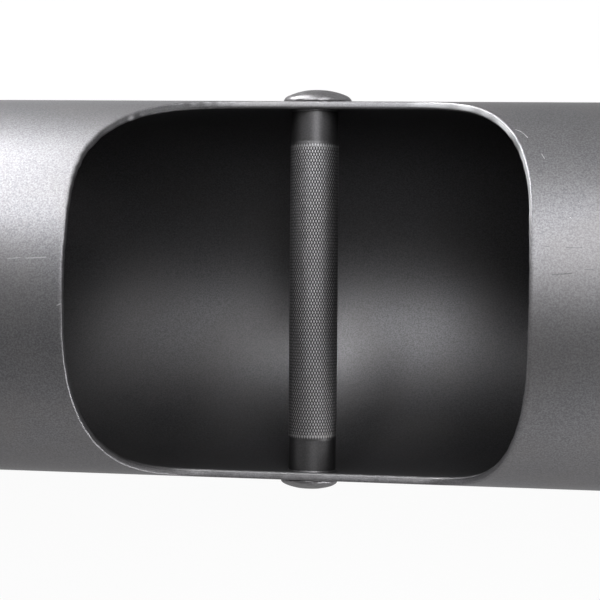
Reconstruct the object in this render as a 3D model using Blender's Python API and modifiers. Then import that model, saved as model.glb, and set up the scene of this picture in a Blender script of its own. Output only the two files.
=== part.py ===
"""Strongman log bar: a big steel tube with two cut windows, a knurled handle
welded across each window, and a loading sleeve on each end.

Metres, +Z up. The tube lies along X on its closed back, with the windows
facing up. The origin is on the floor under the middle of the tube.
"""

import math

import bmesh
import bpy

COLLECTION_NAME = "strongman_log_bar"
GAP = 0.0003

# Log tube
TUBE_DIAMETER = 0.3048
TUBE_WALL = 0.00635
END_BARREL_LENGTH = 0.1428

# Windows cut in the tube, one for each hand
HANDLE_SPACING = 0.6096
WINDOW_LENGTH = 0.324
WINDOW_CORNER_RADIUS = 0.127
WINDOW_LAND = 0.0048

# Handles
HANDLE_DIAMETER = 0.0381
KNURL_DIAMETER = 0.0391
KNURL_END_MARGIN = 0.0275
KNURL_CHAMFER = 0.0005

# Welds that hold the handles
PLUG_DEPTH = 0.003
BACK_DOME_DIAMETER = 0.055
BACK_DOME_HEIGHT = 0.0103
FRONT_DOME_DIAMETER = 0.047
FRONT_DOME_HEIGHT = 0.0083
DOME_RIM = 0.001
HANDLE_FILLET_LEG = 0.004

# End plates and inner bulkheads
END_PLATE_THICKNESS = 0.0095
END_PLATE_RECESS = 0.008
END_WELD_LEG = 0.006
BULKHEAD_THICKNESS = 0.00635
BULKHEAD_SPACING = 0.085
STITCH_COUNT = 4
STITCH_LENGTH = 0.045
STITCH_LEG = 0.005

# How far a fillet bead's face bulges, as a share of its legs; a flat face is at a half
FILLET_CROWN = 0.62

# Loading sleeves
SLEEVE_DIAMETER = 0.0483
SLEEVE_WALL = 0.0051
SLEEVE_LOADING_LENGTH = 0.39
SLEEVE_STUB = 0.009
SLEEVE_CHAMFER = 0.0012
SLEEVE_WELD_LEG = 0.007
STUB_WELD_LEG = 0.005
CAP_THICKNESS = 0.005
CAP_CHAMFER = 0.001
CAP_SETBACK = 0.0032
CAP_WELD_LEG = 0.0026

# Sides of the round pieces, whose diameters are measured across their flats
TUBE_SIDES = 36
BAR_SIDES = 36
DOME_SIDES = 36
CORNER_STEPS = 10
DOME_STEPS = 5
STITCH_STEPS = 5

# How far a cutter reaches past each face of the tube's wall
CUTTER_REACH = 0.03

# Sizes that follow from the ones above
TUBE_RADIUS = TUBE_DIAMETER / 2
BORE_RADIUS = TUBE_RADIUS - TUBE_WALL
TUBE_LENGTH = HANDLE_SPACING + WINDOW_LENGTH + 2 * END_BARREL_LENGTH
AXIS_HEIGHT = TUBE_RADIUS
HANDLE_RADIUS = HANDLE_DIAMETER / 2
HOLE_RADIUS = HANDLE_RADIUS + GAP
HANDLE_REACH = TUBE_RADIUS - PLUG_DEPTH
SLEEVE_RADIUS = SLEEVE_DIAMETER / 2
END_PLATE_FACE = TUBE_LENGTH / 2 - END_PLATE_RECESS
END_PLATE_BACK = END_PLATE_FACE - END_PLATE_THICKNESS
BULKHEAD_FACE = END_PLATE_BACK - BULKHEAD_SPACING
BULKHEAD_BACK = BULKHEAD_FACE - BULKHEAD_THICKNESS
SLEEVE_TIP = END_PLATE_FACE + SLEEVE_LOADING_LENGTH

SIDES = (("left", -1), ("right", 1))


def clear_scene():
    for obj in list(bpy.data.objects):
        bpy.data.objects.remove(obj, do_unlink=True)


def make_collection(name):
    collection = bpy.data.collections.new(name)
    bpy.context.scene.collection.children.link(collection)
    return collection


def make_material(name, colour, roughness, metallic):
    material = bpy.data.materials.new(name)
    material.use_nodes = True
    shader = material.node_tree.nodes["Principled BSDF"]
    shader.inputs["Base Color"].default_value = (*colour, 1.0)
    shader.inputs["Roughness"].default_value = roughness
    shader.inputs["Metallic"].default_value = metallic
    material.diffuse_color = (*colour, 1.0)
    return material


def add_object(name, mesh, collection, material=None, parent=None):
    obj = bpy.data.objects.new(name, mesh)
    collection.objects.link(obj)
    if material is not None:
        mesh.materials.append(material)
    obj.parent = parent
    return obj


def add_empty(name, collection, location, rotation):
    empty = bpy.data.objects.new(name, None)
    collection.objects.link(empty)
    empty.location = location
    empty.rotation_euler = rotation
    return empty


def profile_mesh(name, points, sides, closed):
    """A profile of (radius, height) points, standing on the half plane of one corner.

    A piece with flat sides has each radius at the middle of its flats.
    """
    spread = math.tan(math.pi / sides)
    vertices = [(radius, radius * spread, height) for radius, height in points]
    edges = [(index, index + 1) for index in range(len(points) - 1)]
    if closed:
        edges.append((len(points) - 1, 0))
    mesh = bpy.data.meshes.new(name)
    mesh.from_pydata(vertices, edges, [])
    return mesh


def turn(obj, sides):
    """Turn the object's profile once about its own Z."""
    screw = obj.modifiers.new("turn", "SCREW")
    screw.axis = "Z"
    screw.angle = 2 * math.pi
    screw.steps = sides
    screw.render_steps = sides
    screw.use_merge_vertices = True
    screw.merge_threshold = 0.00001
    screw.use_smooth_shade = True


def turned_piece(name, points, sides, collection, material, parent, closed):
    mesh = profile_mesh(name, points, sides, closed)
    obj = add_object(name, mesh, collection, material, parent)
    turn(obj, sides)
    return obj


def bake(obj):
    """Replace the object's mesh by its evaluated one, so its points can be moved."""
    graph = bpy.context.evaluated_depsgraph_get()
    mesh = bpy.data.meshes.new_from_object(obj.evaluated_get(graph))
    obj.modifiers.clear()
    obj.data = mesh
    return mesh


def smooth(mesh, angle_degrees=30.0):
    mesh.shade_smooth()
    mesh.set_sharp_from_angle(angle=math.radians(angle_degrees))


def cut(obj, cutter):
    boolean = obj.modifiers.new("cut_" + cutter.name, "BOOLEAN")
    boolean.operation = "DIFFERENCE"
    boolean.solver = "EXACT"
    boolean.object = cutter


def mark_as_cutter(obj):
    obj.hide_render = True
    obj.display_type = "WIRE"


def bar_profile(start, end, radius, chamfer=0.0):
    """Outline of a solid bar from its end on the axis, down its side, and back to the axis."""
    points = [(0.0, end)]
    if chamfer:
        points += [(radius - chamfer, end), (radius, end - chamfer)]
    else:
        points.append((radius, end))
    points += [(radius, start), (0.0, start)]
    return points


def ring_profile(start, end, inner_radius, outer_radius):
    return [(inner_radius, end), (outer_radius, end), (outer_radius, start), (inner_radius, start)]


def fillet_profile(corner_radius, corner_height, radial_leg, height_leg):
    """A fillet bead in a corner, with a slightly crowned face.

    A negative leg points inwards or downwards.
    """
    toe = (corner_radius + radial_leg, corner_height)
    face = (corner_radius + FILLET_CROWN * radial_leg, corner_height + FILLET_CROWN * height_leg)
    top = (corner_radius, corner_height + height_leg)
    points = [top, face, toe, (corner_radius, corner_height)]
    if radial_leg * height_leg < 0:
        points.reverse()
    return points


def window_sections():
    """Half lengths of the window at steps of angle round the tube, from one edge to the other."""
    edge_angle = math.acos((HOLE_RADIUS + WINDOW_LAND) / BORE_RADIUS)
    half_girth = edge_angle * TUBE_RADIUS
    radius = min(WINDOW_CORNER_RADIUS, WINDOW_LENGTH / 2, half_girth)
    centre_x = WINDOW_LENGTH / 2 - radius
    centre_girth = half_girth - radius
    upper = []
    for step in range(CORNER_STEPS + 1):
        turn_angle = math.pi / 2 * step / CORNER_STEPS
        girth = centre_girth + radius * math.sin(turn_angle)
        half_length = centre_x + radius * math.cos(turn_angle)
        upper.append((girth / TUBE_RADIUS, half_length))
    straight = [(upper[0][0] * share, WINDOW_LENGTH / 2) for share in (-0.5, 0.0, 0.5)]
    lower = [(-angle, half_length) for angle, half_length in reversed(upper)]
    return lower + straight + upper


def window_cutter(name, centre_x, collection):
    """A curved block that follows the tube's wall, with its sides square to the wall."""
    inner_radius = BORE_RADIUS - CUTTER_REACH
    outer_radius = TUBE_RADIUS + CUTTER_REACH
    mesh = bpy.data.meshes.new(name)
    bm = bmesh.new()
    rows = []
    for angle, half_length in window_sections():
        row = []
        for offset, radius in (
            (-half_length, inner_radius),
            (half_length, inner_radius),
            (half_length, outer_radius),
            (-half_length, outer_radius),
        ):
            row.append(bm.verts.new((offset, radius * math.sin(angle), radius * math.cos(angle))))
        rows.append(row)
    for near, far in zip(rows, rows[1:]):
        for corner in range(4):
            following = (corner + 1) % 4
            bm.faces.new((near[corner], near[following], far[following], far[corner]))
    bm.faces.new(rows[0])
    bm.faces.new(rows[-1])
    bmesh.ops.recalc_face_normals(bm, faces=bm.faces)
    bm.to_mesh(mesh)
    bm.free()
    cutter = add_object(name, mesh, collection)
    cutter.location = (centre_x, 0.0, AXIS_HEIGHT)
    mark_as_cutter(cutter)
    return cutter


def hole_cutter(name, centre_x, collection):
    reach = TUBE_RADIUS + CUTTER_REACH
    profile = bar_profile(-reach, reach, HOLE_RADIUS)
    cutter = turned_piece(name, profile, BAR_SIDES, collection, None, None, closed=False)
    cutter.location = (centre_x, 0.0, AXIS_HEIGHT)
    cutter.rotation_euler = (-math.pi / 2, 0.0, 0.0)
    mark_as_cutter(cutter)
    return cutter


def make_tube(parts, cutters, material):
    profile = ring_profile(-TUBE_LENGTH / 2, TUBE_LENGTH / 2, BORE_RADIUS, TUBE_RADIUS)
    tube = turned_piece("log_tube", profile, TUBE_SIDES, parts, material, None, closed=True)
    tube.location = (0.0, 0.0, AXIS_HEIGHT)
    tube.rotation_euler = (0.0, math.pi / 2, 0.0)
    for side, sign in SIDES:
        centre_x = sign * HANDLE_SPACING / 2
        cut(tube, window_cutter("window_cutter_" + side, centre_x, cutters))
        cut(tube, hole_cutter("handle_hole_cutter_" + side, centre_x, cutters))
    return tube


def make_handle(side, station, parts, material):
    """A round bar across the tube, a little thicker along its knurled grip."""
    grip_end = BORE_RADIUS - KNURL_END_MARGIN
    knurl_radius = KNURL_DIAMETER / 2
    half = [
        (HANDLE_RADIUS, HANDLE_REACH),
        (HANDLE_RADIUS, grip_end),
        (knurl_radius, grip_end - KNURL_CHAMFER),
    ]
    profile = [(0.0, HANDLE_REACH)] + half
    profile += [(radius, -height) for radius, height in reversed(half)]
    profile.append((0.0, -HANDLE_REACH))
    handle = turned_piece("handle_" + side, profile, BAR_SIDES, parts, material, station, closed=False)
    handle.rotation_euler = (-math.pi / 2, 0.0, 0.0)
    return handle


def round_drop(radius, offset):
    """How far a round tube's side has fallen away at this distance from its top line."""
    return radius - math.sqrt(radius * radius - offset * offset)


def faceted_drop(radius, offset):
    """The same for the tube as it is modelled, with flats that touch the round one."""
    facet = 2 * math.pi / TUBE_SIDES
    angle = facet * round(math.atan2(offset, radius) / facet)
    return radius - (radius - offset * math.sin(angle)) / math.cos(angle)


def seat_on_wall(mesh, radius, seat_height, lowest_height):
    """Bend a piece over the tube's wall, which falls away along the mesh's Y.

    Points at the seat follow the flats, the ones above lowest_height follow the round
    tube, and the rest stay.
    """
    for vertex in mesh.vertices:
        if abs(vertex.co.z - seat_height) < GAP / 2:
            vertex.co.z -= faceted_drop(radius, vertex.co.y)
        elif vertex.co.z > lowest_height:
            vertex.co.z -= round_drop(radius, vertex.co.y)


def make_plug_weld(name, diameter, height, rotation, station, parts, material):
    """A domed weld on the tube, with a plug that fills the hole down to the handle's end."""
    plug_radius = HOLE_RADIUS - GAP
    plug_bottom = HANDLE_REACH + GAP
    seat = TUBE_RADIUS + GAP
    dome_rise = height - GAP - DOME_RIM
    points = []
    for step in range(DOME_STEPS + 1):
        angle = math.pi / 2 * step / DOME_STEPS
        points.append((diameter / 2 * math.sin(angle), seat + DOME_RIM + dome_rise * math.cos(angle)))
    points += [(diameter / 2, seat), (plug_radius, seat), (plug_radius, plug_bottom), (0.0, plug_bottom)]
    weld = turned_piece(name, points, DOME_SIDES, parts, material, station, closed=False)
    mesh = bake(weld)
    seat_on_wall(mesh, TUBE_RADIUS, seat, lowest_height=plug_bottom + GAP)
    smooth(mesh)
    weld.rotation_euler = rotation
    return weld


def make_handle_fillet(name, rotation, station, parts, material):
    """A bead round the handle against the inside of the tube's wall."""
    seat = BORE_RADIUS - GAP
    profile = fillet_profile(HOLE_RADIUS, seat, HANDLE_FILLET_LEG, -HANDLE_FILLET_LEG)
    fillet = turned_piece(name, profile, DOME_SIDES, parts, material, station, closed=True)
    mesh = bake(fillet)
    seat_on_wall(mesh, BORE_RADIUS, seat, lowest_height=0.0)
    smooth(mesh)
    fillet.rotation_euler = rotation
    return fillet


def make_handle_station(side, sign, parts, materials):
    """One handle with its four welds, on an empty at the middle of the window."""
    location = (sign * HANDLE_SPACING / 2, 0.0, AXIS_HEIGHT)
    station = add_empty("handle_station_" + side, parts, location, (0.0, 0.0, 0.0))
    make_handle(side, station, parts, materials["handle"])
    dome_sizes = {
        "back": (BACK_DOME_DIAMETER, BACK_DOME_HEIGHT),
        "front": (FRONT_DOME_DIAMETER, FRONT_DOME_HEIGHT),
    }
    for place, direction in (("back", -1), ("front", 1)):
        rotation = (direction * math.pi / 2, 0.0, 0.0)
        ending = side + "_" + place
        diameter, height = dome_sizes[place]
        make_plug_weld("plug_weld_" + ending, diameter, height, rotation, station, parts, materials["weld"])
        make_handle_fillet("handle_fillet_" + ending, rotation, station, parts, materials["weld"])


def make_disc(name, back, face, station, parts, material):
    """A round plate that fills the bore, with a hole for the sleeve."""
    profile = ring_profile(back, face, SLEEVE_RADIUS + GAP, BORE_RADIUS - GAP)
    return turned_piece(name, profile, TUBE_SIDES, parts, material, station, closed=True)


def stitch_mesh(name):
    """A short fillet bead between the bulkhead's inner face and the bore."""
    corner_radius = BORE_RADIUS - 2 * GAP
    profile = fillet_profile(corner_radius, BULKHEAD_BACK - GAP, -STITCH_LEG, -STITCH_LEG)
    arc = STITCH_LENGTH / corner_radius
    mesh = bpy.data.meshes.new(name)
    bm = bmesh.new()
    rows = []
    for step in range(STITCH_STEPS + 1):
        angle = arc * (step / STITCH_STEPS - 0.5)
        row = []
        for radius, height in profile:
            row.append(bm.verts.new((radius * math.cos(angle), radius * math.sin(angle), height)))
        rows.append(row)
    for near, far in zip(rows, rows[1:]):
        for corner in range(len(profile)):
            following = (corner + 1) % len(profile)
            bm.faces.new((near[corner], near[following], far[following], far[corner]))
    bm.faces.new(rows[0])
    bm.faces.new(rows[-1])
    bmesh.ops.recalc_face_normals(bm, faces=bm.faces)
    bm.to_mesh(mesh)
    bm.free()
    smooth(mesh)
    return mesh


def make_stitches(side, station, parts, material):
    """Beads spaced evenly round the bulkhead, which share one mesh."""
    mesh = stitch_mesh("bulkhead_stitch")
    mesh.materials.append(material)
    for number in range(STITCH_COUNT):
        stitch = add_object(f"bulkhead_stitch_{side}_{number + 1}", mesh, parts, None, station)
        stitch.rotation_euler = (0.0, 0.0, 2 * math.pi * (number + 0.5) / STITCH_COUNT)


def make_sleeve(name, station, parts, material):
    """A pipe from just inside the bulkhead to the loading end."""
    bore = SLEEVE_RADIUS - SLEEVE_WALL
    start = BULKHEAD_BACK - SLEEVE_STUB
    profile = [
        (bore, SLEEVE_TIP),
        (SLEEVE_RADIUS - SLEEVE_CHAMFER, SLEEVE_TIP),
        (SLEEVE_RADIUS, SLEEVE_TIP - SLEEVE_CHAMFER),
        (SLEEVE_RADIUS, start),
        (bore, start),
    ]
    return turned_piece(name, profile, BAR_SIDES, parts, material, station, closed=True)


def make_end(side, sign, parts, materials):
    """The plates, the sleeve and their welds at one end, with Z pointing outwards."""
    rotation = (0.0, sign * math.pi / 2, 0.0)
    station = add_empty("end_station_" + side, parts, (0.0, 0.0, AXIS_HEIGHT), rotation)
    weld = materials["weld"]
    make_disc("end_plate_" + side, END_PLATE_BACK, END_PLATE_FACE, station, parts, materials["plate"])
    make_disc("bulkhead_" + side, BULKHEAD_BACK, BULKHEAD_FACE, station, parts, materials["plate"])
    make_stitches(side, station, parts, weld)
    make_sleeve("sleeve_" + side, station, parts, materials["sleeve"])

    rings = (
        ("end_plate_weld_", BORE_RADIUS - GAP, END_PLATE_FACE + GAP, -END_WELD_LEG, END_WELD_LEG, TUBE_SIDES),
        ("sleeve_weld_", SLEEVE_RADIUS + GAP, END_PLATE_FACE + GAP, SLEEVE_WELD_LEG, SLEEVE_WELD_LEG, BAR_SIDES),
        ("stub_weld_", SLEEVE_RADIUS + GAP, BULKHEAD_BACK - GAP, STUB_WELD_LEG, -STUB_WELD_LEG, BAR_SIDES),
    )
    for name, radius, height, radial_leg, height_leg, sides in rings:
        profile = fillet_profile(radius, height, radial_leg, height_leg)
        turned_piece(name + side, profile, sides, parts, weld, station, closed=True)

    cap_start = SLEEVE_TIP + GAP
    cap_radius = SLEEVE_RADIUS - CAP_SETBACK
    cap_profile = bar_profile(cap_start, cap_start + CAP_THICKNESS, cap_radius, CAP_CHAMFER)
    turned_piece("sleeve_cap_" + side, cap_profile, BAR_SIDES, parts, materials["plate"], station, closed=False)
    bead_profile = fillet_profile(cap_radius + GAP, cap_start, CAP_WELD_LEG, CAP_WELD_LEG)
    turned_piece("sleeve_cap_weld_" + side, bead_profile, BAR_SIDES, parts, weld, station, closed=True)


def main():
    clear_scene()
    parts = make_collection(COLLECTION_NAME)
    cutters = make_collection("cutters")
    materials = {
        "tube": make_material("tube_coating", (0.105, 0.102, 0.108), 0.42, 0.0),
        "handle": make_material("handle_coating", (0.085, 0.083, 0.088), 0.45, 0.0),
        "weld": make_material("weld_coating", (0.12, 0.115, 0.12), 0.38, 0.0),
        "plate": make_material("plate_coating", (0.1, 0.098, 0.103), 0.45, 0.0),
        "sleeve": make_material("sleeve_coating", (0.11, 0.108, 0.113), 0.38, 0.0),
    }
    make_tube(parts, cutters, materials["tube"])
    for side, sign in SIDES:
        make_handle_station(side, sign, parts, materials)
        make_end(side, sign, parts, materials)


main()
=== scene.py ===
"""The looks of the strongman log bar: its powder coat, hand-cut windows, knurled
handles and weld beads, with the floor, the light and the camera.

Metres, +Z up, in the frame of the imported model. Girth is the distance measured
round the tube's outside from its top line, positive towards +Y.
"""

from math import atan2, cos, exp, log1p, pi, radians, sin, sqrt, tan

import bmesh
import bpy
import numpy as np
from mathutils import Matrix, Vector, noise
from mathutils.geometry import delaunay_2d_cdt


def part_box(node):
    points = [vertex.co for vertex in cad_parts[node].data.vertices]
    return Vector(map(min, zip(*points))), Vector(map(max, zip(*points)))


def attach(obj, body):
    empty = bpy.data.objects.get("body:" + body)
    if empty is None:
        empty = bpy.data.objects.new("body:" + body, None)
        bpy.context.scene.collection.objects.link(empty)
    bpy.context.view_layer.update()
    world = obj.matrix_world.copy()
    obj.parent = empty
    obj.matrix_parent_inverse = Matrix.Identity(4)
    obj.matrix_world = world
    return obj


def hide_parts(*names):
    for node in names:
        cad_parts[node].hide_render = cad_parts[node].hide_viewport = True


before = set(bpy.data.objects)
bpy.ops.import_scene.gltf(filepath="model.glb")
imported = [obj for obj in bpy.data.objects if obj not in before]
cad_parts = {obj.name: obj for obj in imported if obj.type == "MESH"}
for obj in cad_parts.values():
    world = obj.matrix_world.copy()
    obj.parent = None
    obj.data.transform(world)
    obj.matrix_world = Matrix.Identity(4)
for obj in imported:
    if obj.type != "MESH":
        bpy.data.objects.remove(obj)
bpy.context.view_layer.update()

SIDES = (("left", -1), ("right", 1))
FULL_TURN = 2 * pi
QUARTER_TURN = pi / 2

# Sizes read from the frame
TUBE_LOW, TUBE_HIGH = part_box("log_tube")
TUBE_RADIUS = (TUBE_HIGH.z - TUBE_LOW.z) / 2
TUBE_END = TUBE_HIGH.x
AXIS_HEIGHT = TUBE_LOW.z + TUBE_RADIUS
HANDLE_LOW, HANDLE_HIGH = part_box("handle_right")
HANDLE_PLACE = (HANDLE_LOW.x + HANDLE_HIGH.x) / 2
HANDLE_REACH = HANDLE_HIGH.y
KNURL_RADIUS = (HANDLE_HIGH.x - HANDLE_LOW.x) / 2
END_PLATE_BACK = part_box("end_plate_right")[0].x
END_PLATE_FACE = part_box("end_plate_right")[1].x
BULKHEAD_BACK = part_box("bulkhead_right")[0].x
BULKHEAD_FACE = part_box("bulkhead_right")[1].x
SLEEVE_LOW, SLEEVE_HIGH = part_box("sleeve_right")
SLEEVE_RADIUS = (SLEEVE_HIGH.z - SLEEVE_LOW.z) / 2
CAP_LOW, CAP_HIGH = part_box("sleeve_cap_right")
CAP_RADIUS = (CAP_HIGH.z - CAP_LOW.z) / 2

# Wall of the tube, and the rounding of its edges
TUBE_WALL = 0.00635
BORE_RADIUS = TUBE_RADIUS - TUBE_WALL
LIP_REACH = 0.0031
OUTER_EDGE = 0.0010
WORN_EDGE = 0.0003
INNER_EDGE = 0.0021
RIM_OUTER_EDGE = 0.0012
RIM_INNER_EDGE = 0.0006
RIM_RUB = 0.1
EDGE_STEPS = 5

# Windows, cut by hand: how far each reaches from its handle towards -X and +X, how far
# round the tube, and each corner's length and girth, from the (+X, +Y) one anticlockwise
WINDOW_GIRTH = 0.2154
WINDOW_REACH = {"left": (0.1610, 0.1638), "right": (0.1645, 0.1609)}
WINDOW_CORNERS = {
    "left": ((0.112, 0.150), (0.098, 0.158), (0.126, 0.147), (0.088, 0.162)),
    "right": ((0.0954, 0.1525), (0.1339, 0.1406), (0.0865, 0.1689), (0.0702, 0.1672)),
}
CORNER_STEPS = 40
WINDOW_SPACING = 0.002

# The cut wavers and is nicked, most towards the (-X, +Y) corner
CUT_WAVER = 0.0005
CUT_WAVER_LENGTH = 0.045
CUT_NICK = 0.0013
CUT_NICK_LENGTH = 0.008
LEAST_NICKS = 0.28
CORNER_NICKS = 1.1
LUMP_SEED = 3.7
EDGE_LUMPS = 0.15
OUTER_EDGE_LUMPS = 0.3

# It leans outwards at the +Y side, less so towards -X, and at the +X side, fully past a girth
CUT_LEAN = radians(18)
LEAN_LOST = 0.8
PLUS_LEAN = 0.6
PLUS_LEAN_GIRTH = 0.08

# Paler cut face: a painted highlight on the inner edge at the -Y side, past this slope, and elsewhere on
# the cut face painted highlight towards +Y and bare metal with painted highlight towards +X, where it
# starts at a girth and grows over a length
FRONT_SLOPE = -0.5
FRONT_EDGE_HIGHLIGHT = 0.3
BACK_CUT_HIGHLIGHT = 0.08
PLUS_BARE_AND_HIGHLIGHT = 0.95
PALE_CUT_START = 0.008
PALE_CUT_GROWTH = 0.05
PALE_CUT_LEVEL = 0.85
PALE_CUT_LUMPS = 0.6

# Mesh of the shell
SHELL_SIDES = 144
SHELL_STEP = 0.011
GRID_CLEARANCE = 0.4
HOLE_SIDES = 48
HOLE_CLEARANCE = 0.0006
MERGE_DISTANCE = 1e-6
SHEET_TOLERANCE = 1e-7

# Handles
BAR_RADIUS = 0.01905
KNURL_HALF_LENGTH = 0.11855
KNURL_ROOT_RADIUS = 0.01928
KNURL_TEETH = 54
KNURL_ROWS = 49
KNURL_FLAT = 0.42
KNURL_MERGE = 0.00002
BAR_END_EDGE = 0.0006
# The smooth ends are marked partway up the teeth, so that they carry much of the valleys' painted shade
SMOOTH_END_CREST = 0.50
HANDLE_LEAN = {"left": radians(0.35), "right": radians(0.62)}
SMOOTH_END_PROFILE = (
    (KNURL_ROOT_RADIUS, KNURL_HALF_LENGTH + 0.0003),
    (BAR_RADIUS, KNURL_HALF_LENGTH + 0.0009),
    (BAR_RADIUS, KNURL_HALF_LENGTH + 0.0016),
    (BAR_RADIUS, KNURL_HALF_LENGTH + 0.010),
    (BAR_RADIUS, HANDLE_REACH - BAR_END_EDGE - 0.001),
    (BAR_RADIUS, HANDLE_REACH - BAR_END_EDGE),
    (BAR_RADIUS - BAR_END_EDGE, HANDLE_REACH),
)

# Weld beads: a fillet's bulge, the ripples and the lumps on it
GAP = 0.0003
SEAT_GAP = GAP / 3
FILLET_BULGE = 0.74
FILLET_STEPS = 8
BEAD_SHARP_DEGREES = 50
BEAD_STEP = 0.00065
RIPPLE_PITCH = 0.0026
HANDLE_FILLET_LEG = 0.0013
HANDLE_FILLET_LUMPS = 0.0005
LUMPS_PER_LEG = 0.12
STITCH_LUMPS = 0.0009
STITCH_LEG = 0.005
STITCH_LENGTH = 0.045
STITCH_TIP = 0.08

# Turned pieces of the ends
ROUNDING_STEPS = 4
SLEEVE_WALL = 0.0051
SLEEVE_END_RING = 0.02
CAP_RING = 0.6
PLATE_SIDES = 192
SLEEVE_SIDES = 96


def add_node(tree, kind, inputs=None, **settings):
    """Add a node, set or link the inputs given by name or number, and give its outputs."""
    made = tree.nodes.new(kind)
    for key, value in settings.items():
        setattr(made, key, value)
    for key, value in (inputs or {}).items():
        if isinstance(value, bpy.types.NodeSocket):
            tree.links.new(value, made.inputs[key])
        else:
            made.inputs[key].default_value = value
    return made.outputs


SIGNS = {"+": "ADD", "-": "SUBTRACT", "*": "MULTIPLY", "/": "DIVIDE", "*+": "MULTIPLY_ADD"}


def calc(tree, sign, *values, clamp=False):
    """The output of a Math node, whose operation is given by its sign or its name."""
    settings = {"operation": SIGNS.get(sign, sign), "use_clamp": clamp}
    return add_node(tree, "ShaderNodeMath", dict(enumerate(values)), **settings)[0]


def vector_calc(tree, sign, *values, output=0):
    settings = {"operation": SIGNS.get(sign, sign)}
    return add_node(tree, "ShaderNodeVectorMath", dict(enumerate(values)), **settings)[output]


def scaled(tree, vector, scale):
    return add_node(tree, "ShaderNodeVectorMath", {0: vector, "Scale": scale}, operation="SCALE")[0]


def split(tree, vector):
    return add_node(tree, "ShaderNodeSeparateXYZ", {0: vector})


def remap(tree, value, low, high, new_low=0.0, new_high=1.0):
    """A value remapped with soft ends, and held inside the new range."""
    inputs = {"Value": value, "From Min": low, "From Max": high, "To Min": new_low, "To Max": new_high}
    return add_node(tree, "ShaderNodeMapRange", inputs, interpolation_type="SMOOTHSTEP")["Result"]


def mix_colour(tree, share, first, second):
    return add_node(tree, "ShaderNodeMix", {0: share, 6: first, 7: second}, data_type="RGBA")[2]


def noise_at(tree, place, scale, detail, output="Fac"):
    inputs = {"Vector": place, "Scale": scale, "Detail": detail}
    return add_node(tree, "ShaderNodeTexNoise", inputs)[output]


def patches(tree, place, size, detail):
    """Noise at a place, with patches of a size."""
    return noise_at(tree, place, calc(tree, "/", 1.0, size), detail)


def spread_nodes(tree, columns=8):
    for index, item in enumerate(tree.nodes):
        item.location = (index % columns * 220, -(index // columns) * 320)


def socket_name(words):
    """A socket's name from words joined by underscores."""
    return words.replace("_", " ").title()


def make_group(name, inputs, outputs, tree_kind="ShaderNodeTree"):
    """A node group with named sockets, each given by its kind or by the number it starts with."""
    tree = bpy.data.node_groups.new(name, tree_kind)
    for in_out, sockets in (("INPUT", inputs), ("OUTPUT", outputs)):
        for label, start in sockets.items():
            kind = start if isinstance(start, str) else type(start).__name__.title()
            socket = tree.interface.new_socket(label, in_out=in_out, socket_type="NodeSocket" + kind)
            if kind != start:
                socket.default_value = start
    return tree, tree.nodes.new("NodeGroupInput").outputs, tree.nodes.new("NodeGroupOutput").inputs


def link_all(tree, ends, **sources):
    """Link each source to the end it is named for, and lay the nodes out."""
    for words, source in sources.items():
        tree.links.new(source, ends[socket_name(words)])
    spread_nodes(tree)
    return tree


# Shared effects: the levels between which each one grows, and their scales and shares
TONE_LEVELS = (0.34, 0.66)
CLOUD_LEVELS = (0.35, 0.65)
RUB_LEVELS = (0.72, 0.98)
DUST_LEVELS = (0.38, 0.75)
DUST_FACING = (0.0, 0.9)
SPECK_SHARE = 0.35
WANDER_SCALE = 110.0
BREAKS_SCALE = 420.0
BREAKS_SHARE = 0.55


def coat_grain_group():
    """The powder coat's orange peel, its fine pale specks and its clouds."""
    tree, given, result = make_group(
        "coat_grain",
        {"Place": "Vector", "Peel Size": 0.002, "Speck Size": 0.0007, "Cloud Size": 0.08},
        {"Height": "Float", "Tone": "Float", "Cloud": "Float"},
    )
    peel, specks, clouds = (
        patches(tree, given["Place"], given[size], detail)
        for size, detail in (("Peel Size", 2.0), ("Speck Size", 1.0), ("Cloud Size", 3.0))
    )
    height = calc(tree, "*+", specks, SPECK_SHARE, calc(tree, "*", peel, 1 - SPECK_SHARE))
    tone, cloud = remap(tree, height, *TONE_LEVELS), remap(tree, clouds, *CLOUD_LEVELS)
    return link_all(tree, result, height=height, tone=tone, cloud=cloud)


def edge_rub_group():
    """Where the coat is worn thin: a broken band along the edges that the mesh marks."""
    tree, given, result = make_group(
        "edge_rub",
        {"Place": "Vector", "Edge": "Float", "Patch Size": 0.006, "Amount": 0.5},
        {"Mask": "Float"},
    )
    broken = patches(tree, given["Place"], given["Patch Size"], 4.0)
    level = calc(tree, "*+", given["Edge"], given["Amount"], broken)
    mask = calc(tree, "*", remap(tree, level, *RUB_LEVELS), given["Edge"])
    return link_all(tree, result, mask=mask)


def dust_film_group():
    """Pale dust that settles in patches on what faces up."""
    tree, given, result = make_group(
        "dust_film", {"Place": "Vector", "Patch Size": 0.03, "Amount": 0.3}, {"Mask": "Float"}
    )
    facing = add_node(tree, "ShaderNodeNewGeometry")["Normal"]
    upward = remap(tree, split(tree, facing)["Z"], *DUST_FACING)
    settled = remap(tree, patches(tree, given["Place"], given["Patch Size"], 6.0), *DUST_LEVELS)
    patched = calc(tree, "*", settled, upward)
    return link_all(tree, result, mask=calc(tree, "*", patched, given["Amount"], clamp=True))


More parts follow.
